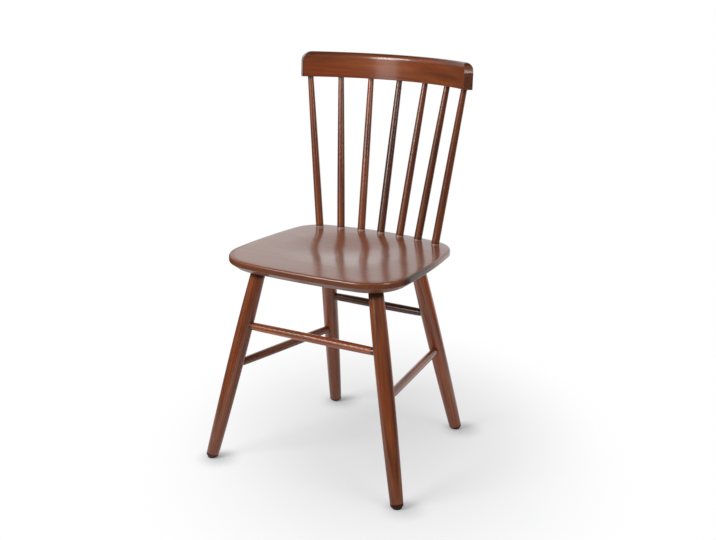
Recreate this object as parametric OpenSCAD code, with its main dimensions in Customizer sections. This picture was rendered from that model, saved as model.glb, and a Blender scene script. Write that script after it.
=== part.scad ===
// Spindle-back bistro chair in stained solid wood.
// Millimetres, +Z up. The chair faces -Y and stands on the floor at z = 0, with the origin under
// the middle of its overall box. Left is -X, as seen by someone facing the front of the chair.
// Every joint is a round tenon glued in a blind socket, so nothing on the chair moves.

/* [Seat] */
// Height of the seat's rim above the floor
seat_height = 455; // [435:1:475]
// Thickness of the seat at its rim
seat_thickness = 26; // [25:0.5:32]
// Distance from the front edge to the back edge
seat_depth = 362; // [345:1:380]
// How far the middle of the seat lies ahead of the middle of the four feet
seat_forward = 29; // [20:1:40]
// Width across the two front corner arcs
seat_front_width = 414; // [400:1:435]
// Width across the two back corner arcs
seat_back_width = 384; // [370:1:400]
// Radius of the front corners
front_corner_r = 89; // [70:1:100]
// Radius of the back corners
back_corner_r = 70; // [60:1:85]
// Radius of the long shallow curve of the front edge
front_edge_r = 1380; // [1000:10:2500]
// Radius of the long shallow curve of each side
side_edge_r = 1100; // [1000:10:2500]
// Radius of the long shallow curve of the back edge
back_edge_r = 680; // [600:10:1200]
// Radius worked on the upper edge of the rim
rim_round = 4; // [2:0.5:6]
// Height of the bevel under the rim
bevel_height = 12.5; // [8:0.5:14]
// How far the bevel runs in under the seat
bevel_width = 17; // [10:0.5:20]

/* [Dish in the seat] */
// Depth of the dish at its lowest point
dish_depth = 10; // [6:0.5:11]
// Width of the level front of the seat, ahead of the dish
dish_front = 62; // [55:1:80]
// Width of the level deck left behind the dish for the spindles
dish_deck = 37; // [36:1:46]
// Width of the dish across its two front corner arcs
dish_front_width = 280; // [265:1:300]
// Width of the dish across its two back corner arcs
dish_back_width = 270; // [255:1:285]
// Radius of the dish's front corners
dish_front_r = 120; // [100:1:125]
// Radius of the dish's back corners
dish_back_r = 97; // [80:1:105]
// How far the lowest point lies behind the middle of the seat
dish_back = 26; // [10:1:40]

/* [Legs] */
// Distance from each side of the seat in to the front legs' sockets
front_socket_inset = 70; // [64:1:76]
// Distance from each side of the seat in to the back legs' sockets
back_socket_inset = 82; // [76:1:88]
// Distance from the seat's front edge to the front legs' sockets
front_socket_setback = 78; // [70:1:86]
// Distance from the seat's back edge to the back legs' sockets
back_socket_setback = 67; // [62:1:74]
// How far sideways a front foot stands out from its leg's socket
front_foot_out = 91.5; // [84:0.5:99]
// How far sideways a back foot stands out from its leg's socket
back_foot_out = 50.5; // [44:0.5:57]
// Distance from the front feet to the back feet
foot_depth = 402; // [385:1:420]
// Diameter at the thickest place of a leg
leg_swell_d = 34; // [31:0.5:36]
// Distance along a leg from its foot to that thickest place
leg_swell_at = 285; // [240:1:320]
// Diameter of a leg at the seat
leg_top_d = 29.5; // [28:0.5:32]
// Diameter of a leg at the foot
leg_foot_d = 26.5; // [24:0.5:28]
// Radius worked on the end of the foot
leg_foot_round = 5; // [3:0.5:6]
// Diameter of the tenon on top of a leg
leg_tenon_d = 24; // [20:0.5:26]
// Height of that tenon inside the seat
leg_tenon_height = 16; // [13:0.5:17]

/* [Stretchers] */
// Height of the front stretcher's middle line
front_stretcher_z = 300; // [285:1:320]
// Height of the back stretcher's middle line
back_stretcher_z = 293; // [280:1:315]
// Height of the side stretchers at the front legs
side_stretcher_front_z = 211; // [195:1:235]
// Height of the side stretchers at the back legs
side_stretcher_back_z = 206; // [195:1:235]
// Diameter of a stretcher at its middle
stretcher_mid_d = 18; // [17:0.5:20]
// Diameter of a stretcher's ends, which are its tenons
stretcher_end_d = 16; // [14:0.5:17]
// Distance that a tenon's end stays short of the leg's middle line
stretcher_stop = 3; // [2.5:0.5:5]

/* [Spindles] */
// Distance between neighbouring spindles at the seat
spindle_foot_pitch = 48; // [46:0.1:50]
// Radius of the bowed row of spindles at the seat
spindle_row_r = 504; // [450:2:700]
// Distance from the seat's back edge to the middle spindle
spindle_setback = 20; // [18:0.5:26]
// Distance between neighbouring spindles along the crest rail
spindle_top_pitch = 67; // [63:0.5:69]
// Diameter of a spindle at the seat
spindle_foot_d = 17.1; // [15.5:0.1:18]
// Diameter of a spindle at the crest rail
spindle_top_d = 12.6; // [11:0.1:13]
// Diameter of the tenon in the seat
foot_tenon_d = 13; // [11:0.5:14]
// Length of the tenon in the seat
foot_tenon_length = 15; // [12:0.5:17]
// Diameter of the tenon in the crest rail
top_tenon_d = 9.5; // [8:0.5:10]
// Length of the tenon in the crest rail
top_tenon_length = 20; // [14:1:26]

/* [Crest rail] */
// Height of the rail's lower edge above the seat, at the middle
crest_above_seat = 323; // [300:1:345]
// How far the rail stands behind the foot of the middle spindle
crest_rake = 79; // [65:1:90]
// Radius of the rail's bow, at the middle of its thickness
crest_bow_r = 297; // [275:1:340]
// Length of the rail along its bow
crest_length = 441; // [430:1:460]
// Height of the rail
crest_height = 54.5; // [48:0.5:64]
// Thickness of the rail
crest_thickness = 19.5; // [17:0.5:22]
// Angle by which the rail leans back
crest_lean = 3.5; // [0:0.5:8]
// Height over which the upper edge is rounded
crest_crown = 12.5; // [8:0.5:16]
// Radius worked on the lower edges
crest_arris = 1.5; // [0.5:0.5:3]
// Radius of the upper corner at each end, seen from the front
crest_corner_r = 22; // [14:1:30]

/* [Glides] */
// Diameter of the glide under each foot
glide_d = 20; // [18:0.5:22]
// Height of the glide
glide_height = 4; // [3:0.5:6]
// Radius worked on the glide's lower edge
glide_edge_r = 2; // [1:0.5:2.5]
// Diameter of the nail's head
nail_head_d = 7; // [6:0.5:9]
// Thickness of the nail's head
nail_head_t = 1; // [0.8:0.1:1.2]
// Depth of the recess that keeps the nail's head off the floor
nail_recess = 2; // [1.6:0.1:2.4]
// Diameter of the nail's shank
nail_d = 2.4; // [2:0.1:3]
// Length of the nail's shank
nail_length = 18; // [14:1:22]

/* [Fits] */
// Glue gap all round a wooden tenon in its socket
glue_gap = 0.15; // [0.05:0.05:0.3]
// Room between a tenon's end and the bottom of its socket
end_gap = 1; // [0.5:0.25:1.5]
// Gap all round a nail in its hole
nail_gap = 0.1; // [0.05:0.05:0.2]

/* [Hidden] */

// Which end and which side of the chair a piece is on
FRONT = -1;
BACK = 1;
LEFT = -1;
RIGHT = 1;

wood = "#7c4024";
wood_dark = "#6b351e";
black_plastic = "#232120";
steel = "#9a9a98";

$fn = 64;
// Steps along a turned profile, round a corner of the seat and along one of its long edges
turn_steps = 24;
corner_steps = 12;
edge_steps = 6;
// Steps up a rounded edge and from the rim of the dish to its lowest point
round_steps = 6;
dish_steps = 14;
// Sides of the circle that the crest rail's bow is part of
bow_sides = 180;
// Powers that shape the girth along a leg and a spindle, and a stretcher's fuller bulge
leg_power = 2;
spindle_power = 1.8;
bulge_power = 0.4;
// Powers that shape the dish: how flat it is round its lowest point and towards its rim
dish_floor_power = 1.75;
dish_rim_power = 2;
// Overshoot of a cutting body past the surface that it cuts
over = 1;
// Length by which a turned body runs past the flat surface that it is trimmed to
trim = 12;
// Angle between the plane that a round body leans in and its seam
seam_turn = 120;

seat_under = seat_height - seat_thickness;
seat_front_y = -seat_forward - seat_depth / 2;
seat_back_y = -seat_forward + seat_depth / 2;
front_corner_x = seat_front_width / 2 - front_corner_r;
back_corner_x = seat_back_width / 2 - back_corner_r;

spindle_count = 7;
middle_spindle = (spindle_count + 1) / 2;
spindle_row_y = seat_back_y - spindle_setback;
crest_y = spindle_row_y + crest_rake;
crest_z = seat_height + crest_above_seat;
crest_half_angle = crest_length / 2 / crest_bow_r * 180 / PI;

// Point on a circle, and a run of points along an arc that leaves out the last one
function polar(c, r, a) = [c.x + r * cos(a), c.y + r * sin(a)];
function arc(c, r, a0, a1, n) = [for (i = [0 : n - 1]) polar(c, r, a0 + (a1 - a0) * i / n)];
function heading(p, q) = atan2(q.y - p.y, q.x - p.x);
function unit(v) = v / norm(v);

// Centre of the circle that lies at distance ra from point a and rb from point b, on their left
function centre_left_of(a, ra, b, rb) =
    let (gap = norm(b - a), u = unit(b - a),
         along = (ra * ra - rb * rb + gap * gap) / (2 * gap),
         aside = sqrt(ra * ra - along * along))
    a + u * along + [-u.y, u.x] * aside;

// Plan outline of the seat or of its dish: four corner arcs joined by long arcs, all tangent.
// fy and by are the front and back edges, fx and bx the corner centres, fr and br their radii.
function plan(fy, by, fx, bx, fr, br, inset) =
    let (front_c = [0, fy + front_edge_r],
         back_c = [0, by - back_edge_r],
         c1 = [fx, front_c.y - sqrt(pow(front_edge_r - fr, 2) - fx * fx)],
         c2 = [bx, back_c.y + sqrt(pow(back_edge_r - br, 2) - bx * bx)],
         side_c = centre_left_of(c1, side_edge_r - fr, c2, side_edge_r - br),
         half = concat(
             arc(front_c, front_edge_r - inset, -90, heading(front_c, c1), edge_steps),
             arc(c1, fr - inset, heading(front_c, c1), heading(side_c, c1), corner_steps),
             arc(side_c, side_edge_r - inset, heading(side_c, c1), heading(side_c, c2), edge_steps),
             arc(c2, br - inset, heading(side_c, c2), heading(back_c, c2), corner_steps),
             arc(back_c, back_edge_r - inset, heading(back_c, c2), 90, edge_steps)))
    concat(half, [[0, by - inset]],
           [for (i = [len(half) - 1 : -1 : 1]) [-half[i].x, half[i].y]]);

function seat_plan(inset) = plan(seat_front_y, seat_back_y, front_corner_x, back_corner_x,
                                 front_corner_r, back_corner_r, inset);
function dish_plan() = plan(seat_front_y + dish_front, seat_back_y - dish_deck,
                            dish_front_width / 2 - dish_front_r,
                            dish_back_width / 2 - dish_back_r,
                            dish_front_r, dish_back_r, 0);

// Leg axis: where it would meet the floor, where it meets the seat, and its direction
function socket_x(end) = end == FRONT ? seat_front_width / 2 - front_socket_inset
                                      : seat_back_width / 2 - back_socket_inset;
function foot_x(end) = socket_x(end) + (end == FRONT ? front_foot_out : back_foot_out);
function leg_foot(end, side) = [side * foot_x(end), end * foot_depth / 2, 0];
function leg_top(end, side) =
    [side * socket_x(end),
     end == FRONT ? seat_front_y + front_socket_setback : seat_back_y - back_socket_setback,
     seat_under];
function leg_dir(end, side) = unit(leg_top(end, side) - leg_foot(end, side));
function leg_at(end, side, z) =
    leg_foot(end, side) + leg_dir(end, side) * z / leg_dir(end, side).z;

// The turned end is set so low that the level cut at the glide removes all of its flat
function leg_start(end, side) =
    let (d = leg_dir(end, side), flat_r = leg_foot_d / 2 - leg_foot_round)
    leg_at(end, side, glide_height - flat_r * sqrt(1 - d.z * d.z));

// Spindle axis: on the seat, and where it enters the crest rail
function spindle_foot(i) =
    let (x = (i - middle_spindle) * spindle_foot_pitch)
    [x, spindle_row_y - spindle_row_r + sqrt(spindle_row_r * spindle_row_r - x * x), seat_height];
function spindle_top(i) =
    let (a = (i - middle_spindle) * spindle_top_pitch / crest_bow_r * 180 / PI,
         back = crest_bow_r * (cos(a) - 1))
    [crest_bow_r * sin(a), crest_y + back * cos(crest_lean), crest_z - back * sin(crest_lean)];
function spindle_dir(i) = unit(spindle_top(i) - spindle_foot(i));

// Stretcher ends on the leg axes: front and back run across, left and right run fore and aft
function stretcher_ends(name) =
    name == "front" ? [leg_at(FRONT, LEFT, front_stretcher_z),
                       leg_at(FRONT, RIGHT, front_stretcher_z)]
    : name == "back" ? [leg_at(BACK, LEFT, back_stretcher_z),
                        leg_at(BACK, RIGHT, back_stretcher_z)]
    : let (side = name == "left" ? LEFT : RIGHT)
      [leg_at(FRONT, side, side_stretcher_front_z), leg_at(BACK, side, side_stretcher_back_z)];

// Foremost and rearmost points of the whole chair, which set its overall middle
front_leg_dir = leg_dir(FRONT, RIGHT);
foot_ring_y = leg_start(FRONT, RIGHT).y + front_leg_dir.y * leg_foot_round;
foot_ring_r = leg_foot_d / 2 - leg_foot_round;
foot_front_y = foot_ring_y - foot_ring_r * sqrt(1 - pow(front_leg_dir.y, 2)) - leg_foot_round;
crown_r = norm([crest_thickness / 2 * cos(crest_lean), crest_crown * sin(crest_lean)]);
crest_back_y = crest_y + (crest_height - crest_crown) * sin(crest_lean) + crown_r;
centre_y = -(min(foot_front_y, seat_front_y) + crest_back_y) / 2;

module on_origin() translate([0, centre_y, 0]) children();

// Lays the children's +Z along the line from p towards q, with their origin at p. The seam of a
// round body is turned away from its sockets and from the plane that its axis leans in.
module along(p, q) {
    d = q - p;
    translate(p) rotate([0, acos(d.z / norm(d)), atan2(d.y, d.x)])
        rotate([0, 0, d.x > 0 ? -seam_turn : seam_turn]) children();
}

module turned(profile) {
    low = profile[0].y;
    high = profile[len(profile) - 1].y;
    rotate_extrude() polygon(concat([[0, low]], profile, [[0, high]]));
}

// Everything above (up = 1) or below (up = -1) a level plane, for trimming turned bodies
module half_space(up) {
    big = 2 * seat_height;
    translate([-big / 2, -big / 2, up > 0 ? 0 : -big]) cube(big);
}

module in_crest_frame() {
    translate([0, crest_y, crest_z]) rotate([-crest_lean, 0, 0]) children();
}

// Seat: one solid lofted through its plan outlines, with blind sockets from both sides
seat_rings = concat(
    [[seat_plan(bevel_width), seat_under]],
    [[seat_plan(0), seat_under + bevel_height]],
    [for (i = [0 : round_steps])
        let (a = 90 * i / round_steps)
        [seat_plan(rim_round * (1 - cos(a))), seat_height - rim_round * (1 - sin(a))]]);

dish_low = [0, -seat_forward + dish_back];
function dish_ring(s) =
    [[for (p = dish_plan()) dish_low + (p - dish_low) * s],
     seat_height - dish_depth * pow(1 - pow(s, dish_floor_power), dish_rim_power)];
dish_rings = [for (i = [dish_steps : -1 : 1]) dish_ring(i / dish_steps)];

module seat_body() {
    rings = concat(seat_rings, dish_rings);
    n = len(rings[0][0]);
    points = concat(
        [for (ring = rings) for (p = ring[0]) [p.x, p.y, ring[1]]],
        [[dish_low.x, dish_low.y, seat_height - dish_depth]]);
    last = (len(rings) - 1) * n;
    faces = concat(
        [[for (i = [0 : n - 1]) i]],
        [for (k = [0 : len(rings) - 2]) for (i = [0 : n - 1])
            let (a = k * n + i, b = k * n + (i + 1) % n)
            each [[a, a + n, b], [b, a + n, b + n]]],
        [for (i = [0 : n - 1]) [last + i, last + n, last + (i + 1) % n]]);
    polyhedron(points, faces, convexity = 4);
}

module leg_tenon(end, side, gap, extra) {
    d = leg_dir(end, side);
    top = leg_top(end, side);
    along(top - d * trim, top)
        cylinder(d = leg_tenon_d + 2 * gap, h = trim + leg_tenon_height / d.z + extra);
}

module foot_tenon(i, gap, extra) {
    d = spindle_dir(i);
    p = spindle_foot(i);
    along(p + d * trim, p) cylinder(d = foot_tenon_d + 2 * gap, h = trim + foot_tenon_length + extra);
}

module top_tenon(i, gap, extra) {
    d = spindle_dir(i);
    p = spindle_top(i);
    along(p - d * trim, p) cylinder(d = top_tenon_d + 2 * gap, h = trim + top_tenon_length + extra);
}

module seat() {
    on_origin() color(wood) difference() {
        seat_body();
        for (end = [FRONT, BACK]) for (side = [LEFT, RIGHT])
            leg_tenon(end, side, glue_gap, end_gap);
        for (i = [1 : spindle_count])
            foot_tenon(i, glue_gap, end_gap);
    }
}

// Legs: turned with a swelling, trimmed level under the seat and at the floor
function leg_radius(s, length) =
    s < leg_swell_at
        ? leg_swell_d / 2 - (leg_swell_d - leg_foot_d) / 2 * pow(1 - s / leg_swell_at, leg_power)
        : leg_swell_d / 2
          - (leg_swell_d - leg_top_d) / 2
            * pow((s - leg_swell_at) / (length - leg_swell_at), leg_power);

module leg_body(end, side) {
    start = leg_start(end, side);
    top = leg_top(end, side);
    length = norm(top - start);
    profile = concat(
        [for (i = [0 : round_steps])
            polar([leg_foot_d / 2 - leg_foot_round, leg_foot_round], leg_foot_round,
                  -90 + 90 * i / round_steps)],
        [for (i = [1 : turn_steps])
            let (s = leg_foot_round + (length - leg_foot_round) * i / turn_steps)
            [leg_radius(s, length), s]],
        [[leg_top_d / 2, length + trim]]);
    along(start, top) turned(profile);
}

module stretcher_tenon(name, which, gap, extra) {
    ends = stretcher_ends(name);
    p = ends[which];
    q = ends[1 - which];
    stop = p + unit(q - p) * (stretcher_stop - extra);
    along(stop, q) cylinder(d = stretcher_end_d + 2 * gap, h = leg_swell_d);
}

module leg(end, side) {
    across = end == FRONT ? "front" : "back";
    fore_and_aft = side == LEFT ? "left" : "right";
    glide = leg_at(end, side, glide_height);
    on_origin() color(wood) difference() {
        union() {
            difference() {
                leg_body(end, side);
                translate([0, 0, seat_under]) half_space(1);
                translate([0, 0, glide_height]) half_space(-1);
            }
            leg_tenon(end, side, 0, 0);
        }
        stretcher_tenon(across, side == LEFT ? 0 : 1, glue_gap, end_gap);
        stretcher_tenon(fore_and_aft, end == FRONT ? 0 : 1, glue_gap, end_gap);
        translate([glide.x, glide.y, nail_recess - nail_head_t - over])
            cylinder(d = nail_d + 2 * nail_gap, h = nail_length + nail_head_t + over + end_gap);
    }
}

// Stretchers: slim turned rails whose plain ends are their own tenons
module stretcher(name) {
    ends = stretcher_ends(name);
    d = unit(ends[1] - ends[0]);
    p = ends[0] + d * stretcher_stop;
    q = ends[1] - d * stretcher_stop;
    plain = leg_swell_d / 2 - stretcher_stop + over;
    free = norm(q - p) - 2 * plain;
    profile = concat(
        [[stretcher_end_d / 2, 0]],
        [for (i = [0 : turn_steps])
            [stretcher_end_d / 2
             + (stretcher_mid_d - stretcher_end_d) / 2 * pow(sin(180 * i / turn_steps), bulge_power),
             plain + free * i / turn_steps]],
        [[stretcher_end_d / 2, 2 * plain + free]]);
    on_origin() color(wood_dark) along(p, q) turned(profile);
}

// Spindles: tapered, trimmed to the seat's deck and to the underside of the crest rail
function spindle_radius(t) =
    spindle_top_d / 2 + (spindle_foot_d - spindle_top_d) / 2 * (1 - pow(t, spindle_power));

module spindle(i) {
    p = spindle_foot(i);
    q = spindle_top(i);
    length = norm(q - p);
    profile = concat(
        [[spindle_foot_d / 2, -trim]],
        [for (k = [0 : turn_steps])
            let (t = k / turn_steps) [spindle_radius(t), length * t]],
        [[spindle_top_d / 2, length + trim]]);
    on_origin() color(wood) union() {
        difference() {
            along(p, q) turned(profile);
            translate([0, 0, seat_height]) half_space(-1);
            in_crest_frame() half_space(1);
        }
        foot_tenon(i, 0, 0);
        top_tenon(i, 0, 0);
    }
}

// Crest rail: a moulded section swept round the bow, with sawn and rounded upper corners
module crest_section() {
    half = crest_thickness / 2;
    polygon(concat(
        arc([half - crest_arris, crest_arris], crest_arris, -90, 0, round_steps),
        [for (k = [0 : 2 * round_steps])
            let (a = 180 * k / (2 * round_steps))
            [half * cos(a), crest_height - crest_crown + crest_crown * sin(a)]],
        arc([-half + crest_arris, crest_arris], crest_arris, 180, 270, round_steps),
        [[-half + crest_arris, 0]]));
}

module crest_corner_cut(side) {
    r = crest_corner_r;
    thick = 2 * crest_thickness;
    rotate([0, 0, -side * crest_half_angle]) translate([0, crest_bow_r, crest_height])
        difference() {
            translate([-r, -thick / 2, -r]) cube([2 * r, thick, 2 * r]);
            translate([-side * r, 0, -r]) rotate([90, 0, 0])
                cylinder(r = r, h = thick + 2 * over, center = true);
        }
}

module crest_rail() {
    on_origin() color(wood) difference() {
        in_crest_frame() translate([0, -crest_bow_r, 0]) difference() {
            rotate([0, 0, 90 - crest_half_angle])
                rotate_extrude(angle = 2 * crest_half_angle, $fn = bow_sides)
                    translate([crest_bow_r, 0]) crest_section();
            crest_corner_cut(LEFT);
            crest_corner_cut(RIGHT);
        }
        for (i = [1 : spindle_count])
            top_tenon(i, glue_gap, end_gap);
    }
}

// Glides: a round pad under each foot, held by one nail whose head sits in a recess
module glide(end, side) {
    p = leg_at(end, side, glide_height);
    edge_c = [glide_d / 2 - glide_edge_r, glide_edge_r];
    on_origin() color(black_plastic) translate([p.x, p.y, 0]) difference() {
        turned(concat(
            [for (k = [0 : round_steps]) polar(edge_c, glide_edge_r, -90 + 90 * k / round_steps)],
            [[glide_d / 2, glide_height]]));
        translate([0, 0, -over]) cylinder(d = nail_d + 2 * nail_gap, h = glide_height + 2 * over);
        translate([0, 0, -over]) cylinder(d = nail_head_d + 2 * nail_gap, h = nail_recess + over);
    }
}

module glide_nails() {
    on_origin() color(steel) for (end = [FRONT, BACK]) for (side = [LEFT, RIGHT]) {
        p = leg_at(end, side, glide_height);
        translate([p.x, p.y, nail_recess - nail_head_t]) {
            cylinder(d = nail_head_d, h = nail_head_t);
            cylinder(d = nail_d, h = nail_head_t + nail_length);
        }
    }
}

seat();
leg(FRONT, LEFT);  // leg_front_left
leg(FRONT, RIGHT);  // leg_front_right
leg(BACK, LEFT);  // leg_back_left
leg(BACK, RIGHT);  // leg_back_right
stretcher("front");  // stretcher_front
stretcher("back");  // stretcher_back
stretcher("left");  // stretcher_left
stretcher("right");  // stretcher_right
spindle(1);  // spindle_1
spindle(2);  // spindle_2
spindle(3);  // spindle_3
spindle(4);  // spindle_4
spindle(5);  // spindle_5
spindle(6);  // spindle_6
spindle(7);  // spindle_7
crest_rail();
glide(FRONT, LEFT);  // glide_front_left
glide(FRONT, RIGHT);  // glide_front_right
glide(BACK, LEFT);  // glide_back_left
glide(BACK, RIGHT);  // glide_back_right
glide_nails();
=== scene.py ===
"""Dresses a packed spindle-back chair: a dished seat, a bowed crest rail and turned legs, spindles
and stretchers in stained and lacquered hardwood, on a white studio floor."""

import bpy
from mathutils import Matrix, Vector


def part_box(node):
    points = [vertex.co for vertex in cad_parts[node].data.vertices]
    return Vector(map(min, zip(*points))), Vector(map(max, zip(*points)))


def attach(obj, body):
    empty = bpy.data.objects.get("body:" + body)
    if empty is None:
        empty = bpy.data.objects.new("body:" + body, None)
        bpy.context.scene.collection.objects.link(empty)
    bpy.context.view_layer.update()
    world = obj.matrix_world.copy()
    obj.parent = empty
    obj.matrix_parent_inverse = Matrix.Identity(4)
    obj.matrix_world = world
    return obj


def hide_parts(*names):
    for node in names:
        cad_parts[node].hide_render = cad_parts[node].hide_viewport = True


bl_info = {
    "name": "Spindle-back chair",
    "version": (1, 0, 0),
    "blender": (4, 5, 0),
    "location": "View3D > Sidebar > Chair",
    "description": "Models and finishes a stained spindle-back chair and its studio",
    "category": "Object",
}

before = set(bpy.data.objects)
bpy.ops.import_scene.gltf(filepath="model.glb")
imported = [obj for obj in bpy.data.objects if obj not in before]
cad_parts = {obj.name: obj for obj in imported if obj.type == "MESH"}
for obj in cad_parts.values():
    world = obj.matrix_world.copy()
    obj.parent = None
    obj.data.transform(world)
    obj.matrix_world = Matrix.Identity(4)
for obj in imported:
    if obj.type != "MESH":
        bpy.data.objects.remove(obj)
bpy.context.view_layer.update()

import math

import bmesh
import bpy
import numpy as np
from bpy.props import FloatProperty, FloatVectorProperty, IntProperty, PointerProperty
from mathutils import Matrix, Vector

MM = 0.001
LEGS = ["leg_front_left", "leg_front_right", "leg_back_left", "leg_back_right"]
STRETCHERS = ["stretcher_front", "stretcher_back", "stretcher_left", "stretcher_right"]
SPINDLES = [f"spindle_{number}" for number in range(1, 8)]
GLIDES = ["glide_front_left", "glide_front_right", "glide_back_left", "glide_back_right"]

# How many straight steps each arc of half the seat's outline gets
ARC_STEPS = [8, 22, 12, 20, 8]
# How many rings the dish has, and the powers that ease its slope in at the outermost ring and out
# at the lowest point
DISH_RINGS = 30
EASE_IN, EASE_OUT = 2, 1.75
# Edges of the crest rail that turn by more than this are sanded
SHARP = math.radians(35)

# Patterns in the wood: how much of its length each keeps along the grain, how many repeats a metre
# holds across it, its levels of detail and how rough they are
WANDER = (0.12, 14, 2, 0.5)
FIBRES = (0.02, 420, 3, 0.65)
BANDS = (0.09, 75, 2, 0.5)
CLOUDS = (0.35, 11, 2, 0.5)
PATCHES = (0.3, 23, 1, 0.5)
PORES = (0.025, 1300, 1, 0.5)
# Between which values a pattern turns into a pore or a patch
PORE_EDGE, PATCH_EDGE = (0.62, 0.72), (0.45, 0.75)
# How sharply a growth ring darkens, the usual sum of the patterns and the depth that it stands for
RING_POWER, USUAL_SUM, USUAL_DEPTH = 1.6, 0.8, 0.3
# The depths over which the stain turns from light to middle and from middle to dark, and how far
# it gets to dark
MIDDLE_DEPTHS, DARK_DEPTHS, DARKEST = (0.05, 0.55), (0.5, 1.0), 0.7
# How high the fibres stand beside the pores' depth, and how far a surface's roughness varies
FIBRE_RELIEF, ROUGH_SPREAD = 0.5, 0.2
# How much a scuff lightens even a black surface, and the depth of the spots in a plain one
SCUFF_LIFT, SPOT_RELIEF = 0.02, 0.1 * MM
# How light each leg, stretcher and spindle has taken the stain, in that order; the back
# stretcher's low tone is painted shade and the front stretcher's high one a painted highlight
TONES = [0.97, 0.94, 1.0, 1.07, 1.07, 0.62, 0.86, 1.0, 0.94, 0.90, 0.99, 0.69, 0.87, 0.82, 0.85]
# How dull shoes have rubbed the lacquer of the front legs
WORN = {"leg_front_left": 0.15, "leg_front_right": 0.4}
# How far from the middle of its log each turned piece was cut, and the turn round it to the next
LOG_REACH, LOG_TURN = 40 * MM, math.radians(137)
# The seat's outline is near the oval of this power. Within it: where the darkening of the edge
# starts and is full, and where the rim's lacquer starts to thin and is thinnest
OVAL, DARKER_EDGE, THIN_EDGE = 4, (0.5, 0.65), (0.82, 0.95)
# How far below the seat's top the edge's darkening and the bevel's thin lacquer start and are full
DARKER_BELOW, BEVEL_BELOW = (2 * MM, 4 * MM), (12 * MM, 18 * MM)

# Width, height and place of each lamp, and the point that all of them face
LAMPS = {
    "key": (1.4, 0.9, (-1.3, -2.25, 2.15)),
    "spark": (0.9, 1.1, (-0.75, -2.35, 1.7)),
    "side": (0.45, 1.8, (2.1, -0.7, 1.8)),
    "wash": (1.5, 1.5, (2.3, -0.5, 1.8)),
    "strip": (0.9, 1.1, (-0.93, -2.55, 0.85)),
}
LAMP_TARGET = (0, 0, 0.45)
# Lamps that only the gloss shows, and lamps that it doesn't show
GLOSS_ONLY = ["spark", "side"]
LIGHT_ONLY = ["wash"]
# What the lacquer mirrors of the room. A place in it is a level direction from the chair, and its
# edge is the cosine of the angle to that direction, first where the place starts and then where
# it is full. A height is the upward part of a ray, and it also starts and is full.
BACKDROP, BACKDROP_EDGE, BACKDROP_TOP = (-0.1, 0.995), (0.62, 0.74), (0.45, 0.8)
WALL, WALL_EDGE, WALL_SHARE = (0.93, 0.36), (0.8, 0.95), 0.5
CEILING_START, CEILING_END = (0.0, 0.25), (0.5, 0.8)
# The side toward which the ceiling gets dimmer, and by how much
DIM_SIDE, DIM_EDGE, DIMMING = (1, 0), (0.0, 0.5), 0.75
# The floor's radius and the middle of its shade, in metres
FLOOR_RADIUS, SHADE_MIDDLE = 12, (0.06, 0.04)
# Where the mirrored floor turns white, as a share of the shade's reach, and where it ends in the
# dim room, in metres
MIRRORED_WHITE, MIRRORED_END = (0.3, 0.8), (0.5, 1.1)


def length(name, description, millimetres):
    """A property that holds a length."""
    return FloatProperty(name=name, description=description, default=millimetres * MM,
                         unit="LENGTH", precision=4)


def shade(name, description, default):
    """A property that holds a colour as it looks on a screen."""
    return FloatVectorProperty(name=name, description=description, default=default,
                               subtype="COLOR_GAMMA", size=3, min=0, max=1)


def amount(name, description, default):
    """A property that holds a plain number."""
    return FloatProperty(name=name, description=description, default=default, min=0)


def angle(name, description, degrees):
    """A property that holds an angle."""
    return FloatProperty(name=name, description=description, default=math.radians(degrees),
                         subtype="ANGLE")


def power(name, description, watts):
    """A property that holds a lamp's power."""
    return FloatProperty(name=name, description=description, default=watts, min=0, unit="POWER")


class SeatSizes(bpy.types.PropertyGroup):
    """Sizes of the seat that its box in the frame doesn't give."""

    front_width: length("Front width", "Width across the two front corner arcs", 414)
    back_width: length("Back width", "Width across the two back corner arcs", 384)
    front_corner: length("Front corner", "Radius of the front corners", 89)
    back_corner: length("Back corner", "Radius of the back corners", 70)
    front_bow: length("Front bow", "Radius of the front edge's long curve", 1380)
    side_bow: length("Side bow", "Radius of each side's long curve", 1100)
    back_bow: length("Back bow", "Radius of the back edge's long curve", 680)
    rim_round: length("Rim round", "Radius worked on the upper edge", 4)
    roll_width: length("Roll width", "Width of the margin that rolls down to the edge", 18)
    roll_drop: length("Roll drop", "How far that margin rolls down", 0.9)
    bevel_height: length("Bevel height", "Height of the bevel under the rim", 12.5)
    bevel_width: length("Bevel width", "How far the bevel runs in under the seat", 17)
    flat_margin: length("Flat margin", "Ring of flat wood beside the bevel underneath", 4)
    arris: length("Arris", "Radius sanded on the bevel's two edges", 1.2)
    dish_front: length("Dish front", "Level front of the seat, ahead of the dish", 62)
    dish_deck: length("Dish deck", "Level deck behind the dish", 37)
    dish_front_width: length("Dish front width", "Width across the dish's front arcs", 280)
    dish_back_width: length("Dish back width", "Width across the dish's back arcs", 270)
    dish_front_r: length("Dish front corner", "Radius of the dish's front corners", 120)
    dish_back_r: length("Dish back corner", "Radius of the dish's back corners", 97)
    dish_depth: length("Dish depth", "Depth of the dish at its lowest point", 10)
    dish_back: length("Dish offset", "How far the lowest point lies behind the middle", 26)


class CrestSizes(bpy.types.PropertyGroup):
    """Sizes of the crest rail that its box in the frame doesn't give."""

    bow: length("Bow", "Radius of the rail's bow at the middle of its thickness", 297)
    run: length("Run", "Length of the rail along its bow", 441)
    stained_run: length("Stained run", "Length of a rail whose ends would be fully stained", 447)
    height: length("Height", "Height of the rail", 54.4)
    thickness: length("Thickness", "Thickness of the rail", 19.5)
    crown: length("Crown", "Height over which the upper edge is rounded", 12.5)
    corner: length("Corner", "Radius of the upper corner at each end", 22)
    arris: length("Arris", "Radius sanded on the rail's edges", 1.2)
    lean: angle("Lean", "Angle by which the rail leans back", 3.5)


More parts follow.
